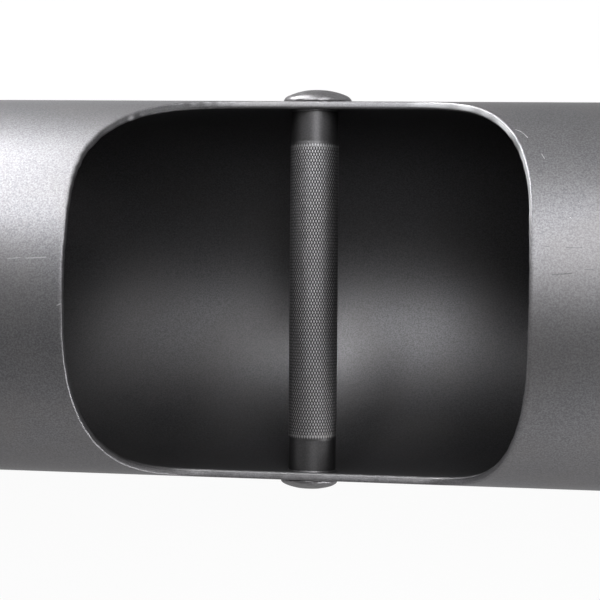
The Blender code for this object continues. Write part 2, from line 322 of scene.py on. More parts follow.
def round_tube_group():
    """Place on the tube as (x, girth, 0), so that a mark keeps its shape round the tube."""
    tree, given, result = make_group(
        "round_tube",
        {"Place": "Vector", "Axis Height": AXIS_HEIGHT, "Radius": TUBE_RADIUS, "Waver": 0.0012},
        {"Flat Place": "Vector", "Breaks": "Float", "Depth": "Float"},
    )
    place = split(tree, given["Place"])
    rise = calc(tree, "-", place["Z"], given["Axis Height"])
    girth = calc(tree, "*", calc(tree, "ARCTAN2", place["Y"], rise), given["Radius"])
    flat = add_node(tree, "ShaderNodeCombineXYZ", {"X": place["X"], "Y": girth})[0]
    wander = noise_at(tree, flat, WANDER_SCALE, 3.0, "Color")
    shift = scaled(tree, vector_calc(tree, "-", wander, (0.5, 0.5, 0.5)), given["Waver"])
    across = calc(tree, "*", place["Y"], place["Y"])
    from_axis = calc(tree, "SQRT", calc(tree, "*+", rise, rise, across))
    return link_all(
        tree,
        result,
        flat_place=vector_calc(tree, "+", flat, shift),
        breaks=noise_at(tree, flat, BREAKS_SCALE, 2.0),
        depth=calc(tree, "-", given["Radius"], from_axis),
    )


def scratch_group():
    """One scratch from a start to an end, thin and broken along its way."""
    tree, given, result = make_group(
        "scratch",
        {
            "Flat Place": "Vector", "Breaks": "Float", "Start": "Vector", "End": "Vector",
            "Width": 0.0008, "Broken": 0.5,
        },
        {"Mask": "Float"},
    )
    from_start = vector_calc(tree, "-", given["Flat Place"], given["Start"])
    run = vector_calc(tree, "-", given["End"], given["Start"])
    reached, whole = (
        vector_calc(tree, "DOT_PRODUCT", vector, run, output="Value") for vector in (from_start, run)
    )
    nearest = scaled(tree, run, calc(tree, "/", reached, whole, clamp=True))
    distance = vector_calc(tree, "DISTANCE", from_start, nearest, output="Value")
    line = calc(tree, "-", 1.0, calc(tree, "/", distance, given["Width"]), clamp=True)
    kept = calc(tree, "GREATER_THAN", given["Breaks"], calc(tree, "*", given["Broken"], BREAKS_SHARE))
    return link_all(tree, result, mask=calc(tree, "*", line, kept))


GROUPS = {
    "grain": coat_grain_group(),
    "rub": edge_rub_group(),
    "dust": dust_film_group(),
    "round_tube": round_tube_group(),
    "scratch": scratch_group(),
}

# Scratches on the tube: start and end as (x, girth), width, how broken, and how pale or dark
SCRATCHES = (
    ((0.1005, 0.0202), (0.1095, 0.0213), 0.0005, 0.5, 0.22),
    ((0.1139, 0.0208), (0.1284, 0.0214), 0.0005, 0.4, 0.26),
    ((0.1372, -0.0123), (0.1394, -0.0113), 0.0006, 0.0, 0.70),
    ((0.4583, 0.1394), (0.4614, 0.1371), 0.0005, 0.2, 0.85),
    ((0.4614, 0.1371), (0.4660, 0.1290), 0.0005, 0.1, 0.95),
    ((0.4751, 0.1107), (0.4769, 0.1061), 0.0004, 0.1, 0.65),
    ((0.4929, 0.0563), (0.4934, 0.0559), 0.0004, 0.0, 0.55),
    ((0.4750, 0.0353), (0.4785, 0.0352), 0.0006, 0.3, -0.50),
    ((0.4903, 0.0346), (0.5006, 0.0347), 0.0005, 0.6, -0.50),
    ((0.4809, 0.0156), (0.4934, 0.0169), 0.0006, 0.4, -0.55),
    ((0.5022, 0.0196), (0.5083, 0.0198), 0.0005, 0.4, -0.45),
)

# Colours of the coat, of what lies on it, and of its painted shade and highlights
COAT_COLOUR = (0.130, 0.128, 0.134)
# The handle has the tube's coat painted lighter: painted light on the bar
HANDLE_LIGHTENED_COLOUR = (0.285, 0.281, 0.288)
CLOUD_TINT = (1.04, 0.99, 0.93)
DUST_COLOUR = (0.32, 0.30, 0.27, 1.0)
RUBBED_COLOUR = (0.22, 0.215, 0.21, 1.0)
# Near-black painted shade in the knurl's valleys
VALLEY_SHADE_COLOUR = (0.03, 0.029, 0.03, 1.0)
# Near-black painted shade for the tube's bore
BORE_SHADE_COLOUR = (0.02, 0.0195, 0.019, 1.0)
PALE_SCRATCH = (0.60, 0.59, 0.60, 1.0)
DARK_SCRATCH = (0.015, 0.015, 0.016, 1.0)
# Pale bare metal that also stands as painted highlight on the window's cut edges
BARE_AND_HIGHLIGHT_COLOUR = (0.54, 0.54, 0.55, 1.0)

# How strongly they show
COAT_METALLIC = 0.95
METALLIC_LOSS = 0.65
GRAIN_SPREAD = 0.24
CLOUD_SHARE = 0.3
CLOUD_ROUGHNESS = 0.02
DUST_ROUGHNESS = 0.25
RUB_SHARE = 0.5
# Share of the bore's painted shade
BORE_SHADE_SHARE = 0.35
BORE_DEPTH = TUBE_WALL * 0.6
# Crest heights between which the knurl's painted valley shade fades out
VALLEY_CREST = 0.35
UNSHADED_CREST = 0.95


def use_group(tree, name, **inputs):
    """Place a shared group, with its inputs given as words joined by underscores."""
    named = {socket_name(words): value for words, value in inputs.items()}
    return add_node(tree, "ShaderNodeGroup", named, node_tree=GROUPS[name])


def mark_on(tree, name):
    """The number that the mesh gives each point under a name."""
    return add_node(tree, "ShaderNodeAttribute", attribute_name=name)["Fac"]


def scratched(tree, tone, on_tube):
    """The tone with the tube's scratches on it."""
    for start, end, width, broken, paleness in SCRATCHES:
        mask = use_group(
            tree, "scratch", flat_place=on_tube["Flat Place"], breaks=on_tube["Breaks"],
            start=(*start, 0.0), end=(*end, 0.0), width=width, broken=broken,
        )["Mask"]
        share = calc(tree, "*", mask, abs(paleness))
        tone = mix_colour(tree, share, tone, PALE_SCRATCH if paleness > 0 else DARK_SCRATCH)
    return tone


def coat_material(piece, colour, roughness, rim_tint, peel, edge_amount, dust_amount):
    """A metallic powder coat: grain and clouds in its tone, worn edges, dust and scratches, with painted
    shade in the bore and the knurl's valleys and painted highlights on the cut edges.
    """
    material = bpy.data.materials.new(f"{piece}_powder_coat")
    material.use_nodes = True
    tree = material.node_tree
    shader = tree.nodes["Principled BSDF"].inputs
    shader["Metallic"].default_value = COAT_METALLIC
    shader["Specular Tint"].default_value = (rim_tint, rim_tint, rim_tint, 1.0)
    peel_size, speck_size, strength, depth = peel
    place = add_node(tree, "ShaderNodeTexCoord")["Object"]
    grain = use_group(tree, "grain", place=place, peel_size=peel_size, speck_size=speck_size)
    rub = use_group(tree, "rub", place=place, edge=mark_on(tree, "edge"), amount=edge_amount)["Mask"]
    dust = use_group(tree, "dust", place=place, amount=dust_amount)["Mask"]

    dark, pale = (
        (*(factor * part for part in colour), 1.0) for factor in (1 - GRAIN_SPREAD, 1 + GRAIN_SPREAD)
    )
    tone = mix_colour(tree, grain["Tone"], dark, pale)
    cloudy = (*(part * tint for part, tint in zip(colour, CLOUD_TINT)), 1.0)
    tone = mix_colour(tree, calc(tree, "*", grain["Cloud"], CLOUD_SHARE), tone, cloudy)
    tone = mix_colour(tree, dust, tone, DUST_COLOUR)
    tone = mix_colour(tree, calc(tree, "*", rub, RUB_SHARE), tone, RUBBED_COLOUR)
    rough = calc(tree, "*+", grain["Cloud"], CLOUD_ROUGHNESS, roughness - CLOUD_ROUGHNESS / 2)
    rough = calc(tree, "*+", dust, DUST_ROUGHNESS, rough)
    if piece == "handle":
        # Painted shade: the knurl's valleys, and much of the smooth ends, darkened by their crest height
        valley_shade = remap(tree, mark_on(tree, "crest"), VALLEY_CREST, UNSHADED_CREST, 1.0, 0.0)
        tone = mix_colour(tree, valley_shade, tone, VALLEY_SHADE_COLOUR)
    if piece == "tube":
        # Painted highlight and bare metal: the cut edges are paled and made less metallic where the mesh
        # marks them
        pale_metal_and_highlight = mark_on(tree, "pale_metal_and_highlight")
        tone = mix_colour(tree, pale_metal_and_highlight, tone, BARE_AND_HIGHLIGHT_COLOUR)
        link_all(tree, shader, metallic=calc(tree, "*+", pale_metal_and_highlight, -METALLIC_LOSS, COAT_METALLIC))
        on_tube = use_group(tree, "round_tube", place=place)
        # Painted shade: the whole bore is darkened towards near-black
        in_bore = calc(tree, "GREATER_THAN", on_tube["Depth"], BORE_DEPTH)
        tone = mix_colour(tree, calc(tree, "*", in_bore, BORE_SHADE_SHARE), tone, BORE_SHADE_COLOUR)
        tone = scratched(tree, tone, on_tube)
    bump = {"Height": grain["Height"], "Strength": strength, "Distance": depth}
    normal = add_node(tree, "ShaderNodeBump", bump)["Normal"]
    link_all(tree, shader, base_color=tone, roughness=rough, normal=normal)
    return material


# Orange peel: the size of its waves and of its specks, its strength and its depth
TUBE_PEEL = (0.0013, 0.0007, 0.38, 0.0001)
BAR_PEEL = (0.0013, 0.0008, 0.7, 0.0001)
SLEEVE_PEEL = (0.0012, 0.0005, 0.12, 0.00004)
WELD_PEEL = (0.0016, 0.0006, 0.5, 0.0001)

# Finishes: colour, roughness, tint at a grazing angle, orange peel, rubbed edges and dust
FINISHES = {
    "tube": (COAT_COLOUR, 0.49, 0.62, TUBE_PEEL, 0.1, 0.03),
    "handle": (HANDLE_LIGHTENED_COLOUR, 0.46, 0.30, BAR_PEEL, 0.1, 0.0),
    "weld": (COAT_COLOUR, 0.42, 0.62, WELD_PEEL, 0.1, 0.03),
    "plate": (COAT_COLOUR, 0.48, 0.62, TUBE_PEEL, 0.2, 0.02),
    "sleeve": (COAT_COLOUR, 0.50, 0.62, SLEEVE_PEEL, 0.3, 0.02),
}
MATERIALS = {piece: coat_material(piece, *finish) for piece, finish in FINISHES.items()}


def finish_mesh(bm, mesh, sharp_degrees):
    """Turn the faces outwards and shade the mesh smooth between its sharp edges."""
    bmesh.ops.recalc_face_normals(bm, faces=bm.faces)
    bm.to_mesh(mesh)
    bm.free()
    mesh.shade_smooth()
    mesh.set_sharp_from_angle(angle=radians(sharp_degrees))


def make_mesh(name, points, faces, sharp_degrees, **marks):
    """A closed mesh, with a number on each point for each mark."""
    mesh = bpy.data.meshes.new(name)
    mesh.from_pydata([tuple(point) for point in points], [], faces)
    for mark, values in marks.items():
        layer = mesh.attributes.new(mark, "FLOAT", "POINT")
        layer.data.foreach_set("value", np.asarray(values, dtype=np.float32))
    bm = bmesh.new()
    bm.from_mesh(mesh)
    bmesh.ops.remove_doubles(bm, verts=bm.verts, dist=MERGE_DISTANCE)
    finish_mesh(bm, mesh, sharp_degrees)
    return mesh


def grid_faces(columns, rows, round_columns=True, round_rows=True):
    """Four-sided faces of a grid whose points go column by column, joined round or left open."""
    faces = []
    for column in range(columns if round_columns else columns - 1):
        near, far = column * rows, (column + 1) % columns * rows
        for row in range(rows if round_rows else rows - 1):
            after = (row + 1) % rows
            faces.append((near + row, near + after, far + after, far + row))
    return faces


def polar(radius, angle, height):
    """A point at an angle round Z."""
    return radius * cos(angle), radius * sin(angle), height


def drop(radius, y):
    """How far a round of this radius lies under its top line at y."""
    return radius - sqrt(radius ** 2 - y ** 2)


def clip(value):
    """A value held between 0 and 1."""
    return min(1.0, max(0.0, value))


def shares(steps):
    """Even steps from 0 to 1."""
    return [step / steps for step in range(steps + 1)]


def add_object(name, data):
    """A new object in the scene."""
    made = bpy.data.objects.new(name, data)
    bpy.context.scene.collection.objects.link(made)
    return made


def add_piece(name, mesh, material, *nodes):
    """A finished piece that stands for the named nodes and rides on the log."""
    mesh.materials.clear()
    mesh.materials.append(MATERIALS[material])
    piece = add_object(name, mesh)
    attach(piece, "root")
    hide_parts(*nodes)


def wall_points(flat, depth):
    """Points of the tube's wall, from places as (x, girth) and their depth under the outside."""
    x, girth = flat.T
    angle = girth / TUBE_RADIUS
    radius = TUBE_RADIUS - np.asarray(depth)
    return np.stack([x, radius * np.sin(angle), AXIS_HEIGHT + radius * np.cos(angle)], axis=1)


def resample(outline, spacing):
    """Points evenly spaced round a closed outline."""
    ring = np.vstack([outline, outline[:1]])
    steps = np.hypot(*np.diff(ring, axis=0).T)
    travelled = np.concatenate([[0.0], np.cumsum(steps)])
    count = round(travelled[-1] / spacing)
    stops = np.linspace(0.0, travelled[-1], count, endpoint=False)
    return np.stack([np.interp(stops, travelled, ring[:, axis]) for axis in (0, 1)], axis=1)


def outward(outline):
    """Unit normals of an anticlockwise closed outline."""
    run = np.roll(outline, -1, axis=0) - np.roll(outline, 1, axis=0)
    run /= np.hypot(*run.T)[:, None]
    return np.stack([run[:, 1], -run[:, 0]], axis=1)


def window_outline(side, centre_x):
    """A window's hand-cut outline in x and girth."""
    minus_reach, plus_reach = WINDOW_REACH[side]
    outline = []
    for quarter, (length, girth) in enumerate(WINDOW_CORNERS[side]):
        right = quarter in (0, 3)
        upper = quarter in (0, 1)
        middle_x = centre_x + (plus_reach - length if right else length - minus_reach)
        middle_girth = (WINDOW_GIRTH - girth) * (1 if upper else -1)
        for share in shares(CORNER_STEPS):
            angle = QUARTER_TURN * (quarter + share)
            outline.append((middle_x + length * cos(angle), middle_girth + girth * sin(angle)))
    outline = resample(np.array(outline), WINDOW_SPACING)
    normals = outward(outline)
    waver = []
    for (x, girth), (towards_plus, towards_back) in zip(outline, normals):
        place = Vector((x, girth, centre_x))
        ragged = LEAST_NICKS + CORNER_NICKS * clip(-towards_plus) ** 1.5 * clip(towards_back) ** 0.5
        nick = CUT_NICK * ragged * noise.noise(place / CUT_NICK_LENGTH)
        waver.append(CUT_WAVER * noise.noise(place / CUT_WAVER_LENGTH) + nick)
    return outline + normals * np.array(waver)[:, None]


def hole_outline(centre_x, direction):
    """The handle's hole through the wall, in x and girth."""
    radius = BAR_RADIUS + HOLE_CLEARANCE
    turns = np.linspace(0.0, FULL_TURN, HOLE_SIDES, endpoint=False)
    girth = TUBE_RADIUS * np.arccos(-direction * radius * np.sin(turns) / TUBE_RADIUS)
    return np.stack([centre_x + radius * np.cos(turns), direction * girth], axis=1)


def edge_section(outer_width, outer_depth, inner_edge, lean=0.0, highlit_inside=False):
    """The wall's edge from outside to inside, as (distance from the cut line, depth, wear, share of pale
    bare metal and painted highlight).
    """
    set_back = tan(lean) * (TUBE_WALL - inner_edge - outer_depth)
    section = [(LIP_REACH, 0.0, 0.0, 0.0)]
    for share in shares(EDGE_STEPS):
        angle = QUARTER_TURN * share
        wear = 1.0 - abs(share - 0.5)
        # Two parts round and one part bevel
        across = (2 * (1 - sin(angle)) + 1 - share) / 3
        down = (2 * (1 - cos(angle)) + share) / 3
        pale_metal_and_highlight = 0.0 if highlit_inside else share ** 3
        section.append((set_back + outer_width * across, outer_depth * down, wear, pale_metal_and_highlight))
    for share in shares(EDGE_STEPS):
        angle = QUARTER_TURN * share
        depth = TUBE_WALL - inner_edge * (1 - sin(angle))
        # At the -Y side the inner rounding carries a painted highlight; elsewhere the cut face starts
        # pale
        pale_metal_and_highlight = sin(2 * angle) if highlit_inside else float(share == 0.0)
        section.append((inner_edge * (1 - cos(angle)), depth, 0.5, pale_metal_and_highlight))
    section.append((LIP_REACH, TUBE_WALL, 0.0, 0.0))
    return section


def cut_edge(x, girth, towards_plus, towards_back):
    """A window's edge at one place: its section, and how strongly its cut face is paled, as bare metal
    and as painted highlight.
    """
    plus, minus, back = clip(towards_plus), clip(-towards_plus), clip(towards_back)
    lump = noise.noise(Vector((x, girth, LUMP_SEED)) / CUT_NICK_LENGTH / 2)
    lean = CUT_LEAN * back ** 2 * (1 - LEAN_LOST * minus)
    lean += PLUS_LEAN * CUT_LEAN * plus ** 0.5 * clip(girth / PLUS_LEAN_GIRTH)
    outer = OUTER_EDGE + WORN_EDGE * plus ** 0.7
    width = outer * (1 + EDGE_LUMPS * lump)
    depth = outer * (1 + OUTER_EDGE_LUMPS * lump)
    at_front = towards_back < FRONT_SLOPE
    section = edge_section(width, depth, INNER_EDGE * (1 + EDGE_LUMPS * lump), lean, at_front)
    # At the -Y side, only the painted highlight on the inner edge
    if at_front:
        return section, FRONT_EDGE_HIGHLIGHT * -towards_back
    share = BACK_CUT_HIGHLIGHT * back + PLUS_BARE_AND_HIGHLIGHT * plus
    share *= clip((girth - PALE_CUT_START) / PALE_CUT_GROWTH) * (PALE_CUT_LEVEL + PALE_CUT_LUMPS * lump)
    return section, clip(share)


def inside(points, outline):
    """Which points lie inside a closed outline."""
    x, y = points[:, 0, None], points[:, 1, None]
    x1, y1 = outline.T
    x2, y2 = np.roll(outline, -1, axis=0).T
    crosses = (y1 > y) != (y2 > y)
    slope = np.where(y2 == y1, 1.0, y2 - y1)
    hits = crosses & (x < (x2 - x1) * (y - y1) / slope + x1)
    return hits.sum(axis=1) % 2 == 1


def shell_grid(outlines, half_length, half_girth):
    """Grid points between the openings, kept a little clear of them."""
    columns = round(2 * half_length / SHELL_STEP)
    x = np.linspace(-half_length, half_length, columns + 1)
    girth = np.linspace(-half_girth, half_girth, SHELL_SIDES + 1)
    grid = np.stack(np.meshgrid(x, girth, indexing="ij"), axis=-1).reshape(-1, 2)
    margin = GRID_CLEARANCE * 2 * half_girth / SHELL_SIDES
    for outline in outlines:
        gaps = np.linalg.norm(grid[:, None] - outline, axis=2).min(axis=1)
        grid = grid[~inside(grid, outline) & (gaps > margin)]
    return grid


def flat_sheet(outlines, half_length, half_girth):
    """The tube's wall laid flat with its openings: points, triangles and each opening's loop."""
    points = list(shell_grid(outlines, half_length, half_girth))
    loops, edges = [], []
    for outline in outlines:
        first, count = len(points), len(outline)
        points += list(outline)
        loops.append(range(first, first + count))
        edges += [(first + index, first + (index + 1) % count) for index in range(count)]
    flat, _, triangles, origins, _, _ = delaunay_2d_cdt(
        [Vector(point) for point in points], edges, [], 0, SHEET_TOLERANCE, True
    )
    place_of = {old: new for new, olds in enumerate(origins) for old in olds}
    flat, triangles = np.array([tuple(point) for point in flat]), np.array(triangles)
    middles = flat[triangles].mean(axis=1)
    for outline in outlines:
        keep = ~inside(middles, outline)
        middles, triangles = middles[keep], triangles[keep]
    return flat, triangles, [[place_of[index] for index in loop] for loop in loops]


def make_shell():
    """The tube's wall: its outside and bore as one sheet bent twice, joined along every edge."""
    openings = []
    for side, sign in SIDES:
        centre_x = sign * HANDLE_PLACE
        openings.append((window_outline(side, centre_x), True))
        for direction in (1, -1):
            hole_x = centre_x - direction * tan(HANDLE_LEAN[side]) * TUBE_RADIUS
            openings.append((hole_outline(hole_x, direction), False))

    half_length = TUBE_END - LIP_REACH
    lips = [line + outward(line) * LIP_REACH if is_window else line for line, is_window in openings]
    flat, triangles, loops = flat_sheet(lips, half_length, pi * TUBE_RADIUS)
    points = [wall_points(flat, 0.0), wall_points(flat, TUBE_WALL)]
    marks = {"edge": [np.zeros(2 * len(flat))], "pale_metal_and_highlight": [np.zeros(2 * len(flat))]}
    faces = triangles.tolist() + (triangles[:, ::-1] + len(flat)).tolist()

    def add_edge(outline, normals, sections, bare_highlight_share, on_sheet, closed):
        """Join the outside to the bore along one edge, by rows of a section."""
        count = len(outline)
        rows = [on_sheet]
        for offset, depth, wear, pale_metal_and_highlight in np.array(sections).transpose(1, 2, 0)[1:-1]:
            start = sum(map(len, points))
            rows.append(range(start, start + count))
            points.append(wall_points(outline + normals * offset[:, None], depth))
            marks["edge"].append(wear)
            marks["pale_metal_and_highlight"].append(pale_metal_and_highlight * bare_highlight_share)
        rows.append(np.array(on_sheet) + len(flat))
        grid = grid_faces(len(rows), count, round_columns=False, round_rows=closed)
        faces.extend(np.concatenate(rows)[np.array(grid)].tolist())

    for (outline, is_window), loop in zip(openings, loops):
        normals = outward(outline)
        if is_window:
            edges = [cut_edge(*place, *towards) for place, towards in zip(outline, normals)]
            sections, bare_highlight_share = zip(*edges)
        else:
            sections, bare_highlight_share = np.zeros((len(outline), 2, 4)), 0.0
        add_edge(outline, normals, sections, np.array(bare_highlight_share), loop, closed=True)

    rim_section = edge_section(RIM_OUTER_EDGE, RIM_OUTER_EDGE, RIM_INNER_EDGE)
    for _, sign in SIDES:
        on_rim = np.flatnonzero(np.abs(flat[:, 0] - sign * half_length) < MERGE_DISTANCE)
        on_rim = on_rim[np.argsort(flat[on_rim, 1])]
        count = len(on_rim)
        outline = np.stack([np.full(count, sign * TUBE_END), flat[on_rim, 1]], axis=1)
        normals = np.tile((-float(sign), 0.0), (count, 1))
        add_edge(outline, normals, [rim_section] * count, RIM_RUB, on_rim, closed=False)

    marks = {mark: np.concatenate(values) for mark, values in marks.items()}
    mesh = make_mesh("log_shell", np.vstack(points), faces, sharp_degrees=35.0, **marks)
    add_piece("log_shell", mesh, "tube", "log_tube")


def knurl_tree():
    """A band of diamond teeth: two interleaved grids of four-sided cones, wrapped round Z."""
    tree, given, result = make_group(
        "knurl_band",
        {
            "Teeth": KNURL_TEETH, "Rows": KNURL_ROWS, "Length": 2 * KNURL_HALF_LENGTH,
            "Root Radius": KNURL_ROOT_RADIUS, "Crest Radius": KNURL_RADIUS, "Flat": KNURL_FLAT,
            "Material": "Material",
        },
        {"Geometry": "Geometry"},
        "GeometryNodeTree",
    )
    pitch = calc(tree, "/", FULL_TURN, given["Teeth"])
    row = calc(tree, "/", given["Length"], given["Rows"])
    grids = tree.nodes.new("GeometryNodeJoinGeometry")
    for rows_less, turn_share in ((1, 0.0), (2, 0.5)):
        size = {
            "Size X": calc(tree, "-", FULL_TURN, pitch),
            "Size Y": calc(tree, "-", given["Length"], calc(tree, "*", row, rows_less)),
            "Vertices X": given["Teeth"],
            "Vertices Y": calc(tree, "-", given["Rows"], rows_less - 1),
        }
        grid = add_node(tree, "GeometryNodeMeshGrid", size)["Mesh"]
        shift = add_node(tree, "ShaderNodeCombineXYZ", {"X": calc(tree, "*", pitch, turn_share)})[0]
        moved = add_node(tree, "GeometryNodeTransform", {"Geometry": grid, "Translation": shift})
        tree.links.new(moved[0], grids.inputs[0])
    top = calc(tree, "*", given["Flat"], 0.5)
    cone = {"Vertices": 4, "Radius Top": top, "Radius Bottom": 0.5, "Depth": 1.0}
    cone = add_node(tree, "GeometryNodeMeshCone", cone)
    base = {"Geometry": cone["Mesh"], "Selection": cone["Bottom"]}
    tooth = add_node(tree, "GeometryNodeDeleteGeometry", base, domain="FACE", mode="ONLY_FACE")[0]
    rise = calc(tree, "-", given["Crest Radius"], given["Root Radius"])
    size = add_node(tree, "ShaderNodeCombineXYZ", {"X": pitch, "Y": row, "Z": rise})[0]
    teeth = {"Points": grids.outputs[0], "Instance": tooth, "Scale": size}
    band = add_node(tree, "GeometryNodeInstanceOnPoints", teeth)[0]
    band = add_node(tree, "GeometryNodeRealizeInstances", {"Geometry": band})[0]
    place = split(tree, add_node(tree, "GeometryNodeInputPosition")[0])
    crest = {"Geometry": band, "Name": "crest", "Value": calc(tree, "/", place["Z"], rise)}
    band = add_node(tree, "GeometryNodeStoreNamedAttribute", crest, data_type="FLOAT", domain="POINT")[0]
    radius = calc(tree, "+", given["Root Radius"], place["Z"])
    wrapped = {
        "X": calc(tree, "*", radius, calc(tree, "COSINE", place["X"])),
        "Y": calc(tree, "*", radius, calc(tree, "SINE", place["X"])),
        "Z": place["Y"],
    }
    wrapped = add_node(tree, "ShaderNodeCombineXYZ", wrapped)[0]
    band = add_node(tree, "GeometryNodeSetPosition", {"Geometry": band, "Position": wrapped})[0]
    band = add_node(tree, "GeometryNodeMergeByDistance", {"Geometry": band, "Distance": KNURL_MERGE})[0]
    coated = {"Geometry": band, "Material": given["Material"]}
    return link_all(tree, result, geometry=add_node(tree, "GeometryNodeSetMaterial", coated)[0])


def weld_tree():
    """Ripples and lumps on a bead round Z, strongest where the mesh marks its middle."""
    tree, given, result = make_group(
        "weld_ripples",
        {
            "Geometry": "Geometry", "Ripples": 60.0, "Ripple Height": 0.0003, "Chevron": 2.2,
            "Lump Height": STITCH_LUMPS, "Lump Size": 0.012, "Seed": 1.0, "Material": "Material",
        },
        {"Geometry": "Geometry"},
        "GeometryNodeTree",
    )
    position = add_node(tree, "GeometryNodeInputPosition")[0]
    place = split(tree, position)
    across = add_node(tree, "GeometryNodeInputNamedAttribute", {"Name": "across"}, data_type="FLOAT")[0]
    rest = calc(tree, "-", 1.0, across)
    crown = calc(tree, "*", calc(tree, "*", across, rest), 4.0)
    turn = calc(tree, "/", calc(tree, "ARCTAN2", place["Y"], place["X"]), FULL_TURN)
    bow = calc(tree, "*", crown, given["Chevron"])
    phase = calc(tree, "FRACT", calc(tree, "*+", turn, given["Ripples"], bow))
    tent = calc(tree, "ABSOLUTE", calc(tree, "*+", phase, 2.0, -1.0))
    ripple = calc(tree, "-", 1.0, calc(tree, "*", tent, tent))
    scale = calc(tree, "/", 1.0, given["Lump Size"])
    lumps = {"Vector": position, "W": given["Seed"], "Scale": scale, "Detail": 2.0}
    lumps = add_node(tree, "ShaderNodeTexNoise", lumps, noise_dimensions="4D")[0]
    lift = calc(tree, "*", calc(tree, "-", lumps, 0.5), given["Lump Height"])
    lift = calc(tree, "*", calc(tree, "*+", ripple, given["Ripple Height"], lift), crown)
    offset = scaled(tree, add_node(tree, "GeometryNodeInputNormal")[0], lift)
    lifted = {"Geometry": given["Geometry"], "Offset": offset}
    bead = add_node(tree, "GeometryNodeSetPosition", lifted)[0]
    bead = add_node(tree, "GeometryNodeRealizeInstances", {"Geometry": bead})[0]
    coated = {"Geometry": bead, "Material": given["Material"]}
    return link_all(tree, result, geometry=add_node(tree, "GeometryNodeSetMaterial", coated)[0])


def run_tree(mesh, tree, **values):
    """Run a geometry tree on a mesh with its inputs set by name, and give the plain result."""
    holder = add_object(tree.name, mesh)
    modifier = holder.modifiers.new(tree.name, "NODES")
    modifier.node_group = tree
    items = tree.interface.items_tree
    sockets = {item.name: item.identifier for item in items if item.in_out == "INPUT"}
    for words, value in values.items():
        modifier[sockets[socket_name(words)]] = value
    graph = bpy.context.evaluated_depsgraph_get()
    made = bpy.data.meshes.new_from_object(holder.evaluated_get(graph))
    holder.modifiers.remove(modifier)
    bpy.data.objects.remove(holder, do_unlink=True)
    return made


KNURL_TREE = knurl_tree()
WELD_TREE = weld_tree()


def handle_matrix(side, sign, direction=1):
    """From a handle's own frame, with Z along it, to its place across the window."""
    place = Matrix.Translation((sign * HANDLE_PLACE, 0.0, AXIS_HEIGHT))
    lean = Matrix.Rotation(HANDLE_LEAN[side], 4, "Z")
    return place @ lean @ Matrix.Rotation(-direction * QUARTER_TURN, 4, "X")


def make_handle(side, sign):
    """A round bar with a diamond knurl, turned smooth at both ends."""
    band = run_tree(bpy.data.meshes.new("knurl_start"), KNURL_TREE, material=MATERIALS["handle"])
    bm = bmesh.new()
    bm.from_mesh(band)
    crest = bm.verts.layers.float["crest"]
    open_points = {point for edge in bm.edges if edge.is_boundary for point in edge.verts}
    for end in (-1, 1):
        row = [point for point in open_points if point.co.z * end > 0]
        row.sort(key=lambda point: atan2(point.co.y, point.co.x))
        angles = [atan2(point.co.y, point.co.x) for point in row]
        for point in row:
            point[crest] = SMOOTH_END_CREST
        for radius, height in SMOOTH_END_PROFILE:
            ring = [bm.verts.new(polar(radius, angle, end * height)) for angle in angles]
            for index, point in enumerate(ring):
                after = (index + 1) % len(ring)
                bm.faces.new((row[index], row[after], ring[after], point))
                point[crest] = SMOOTH_END_CREST
            row = ring
        bm.faces.new(row)
    finish_mesh(bm, band, sharp_degrees=30.0)
    band.transform(handle_matrix(side, sign))
    add_piece(f"handle_{side}_knurled", band, "handle", f"handle_{side}")


def fillet_section(corner, radial_leg, height_leg):
    """A fillet bead's outline as (radius, height, across), where across runs 0 to 1 over its face."""
    radius, height = corner
    section = []
    for share in shares(FILLET_STEPS):
        ease = 2 * FILLET_BULGE * share * (1 - share)
        outer = radius + radial_leg * ((1 - share) ** 2 + ease)
        section.append((outer, height + height_leg * (share ** 2 + ease), share))
    section.append((radius, height, 0.0))
    return section


def ring_mesh(name, section, columns, arc, taper):
    """A section of (radius, height, across) carried round Z, all the way or along an arc."""
    closed = arc == FULL_TURN
    count = columns if closed else columns + 1
    corner_radius, corner_height, _ = section[-1]
    points = []
    for column in range(count):
        angle = arc * (column / columns - 0.5)
        size = taper(column / columns) if taper else 1.0
        for radius, height, _ in section:
            radius = corner_radius + (radius - corner_radius) * size
            points.append(polar(radius, angle, corner_height + (height - corner_height) * size))
    rows = len(section)
    faces = grid_faces(count, rows, round_columns=closed)
    if not closed:
        faces += [tuple(range(rows)), tuple(range((count - 1) * rows, count * rows))]
    across = [share for _, _, share in section] * count
    return make_mesh(name, points, faces, sharp_degrees=180.0, across=across)


def bead_mesh(name, section, seed, lump_height, arc=FULL_TURN, taper=None):
    """A rippled bead in its own frame, with Z as its axis."""
    girth = section[0][0] * FULL_TURN
    columns = round(girth * arc / FULL_TURN / BEAD_STEP)
    made = run_tree(
        ring_mesh(name, section, columns, arc, taper),
        WELD_TREE,
        ripples=float(round(girth / RIPPLE_PITCH)),
        lump_height=lump_height,
        seed=float(seed),
        material=MATERIALS["weld"],
    )
    made.name = name
    made.shade_smooth()
    made.set_sharp_from_angle(angle=radians(BEAD_SHARP_DEGREES))
    return made


def make_handle_fillet(side, sign, place, direction, seed):
    """The bead inside the tube, round the handle, following the bore."""
    corner = (BAR_RADIUS + SEAT_GAP, BORE_RADIUS - SEAT_GAP)
    section = fillet_section(corner, HANDLE_FILLET_LEG, -HANDLE_FILLET_LEG)
    mesh = bead_mesh("fillet", section, seed, HANDLE_FILLET_LUMPS)
    for vertex in mesh.vertices:
        vertex.co.z -= drop(BORE_RADIUS, vertex.co.y)
    mesh.transform(handle_matrix(side, sign, direction))
    node = f"handle_fillet_{side}_{place}"
    add_piece(node + "_rippled", mesh, "weld", node)


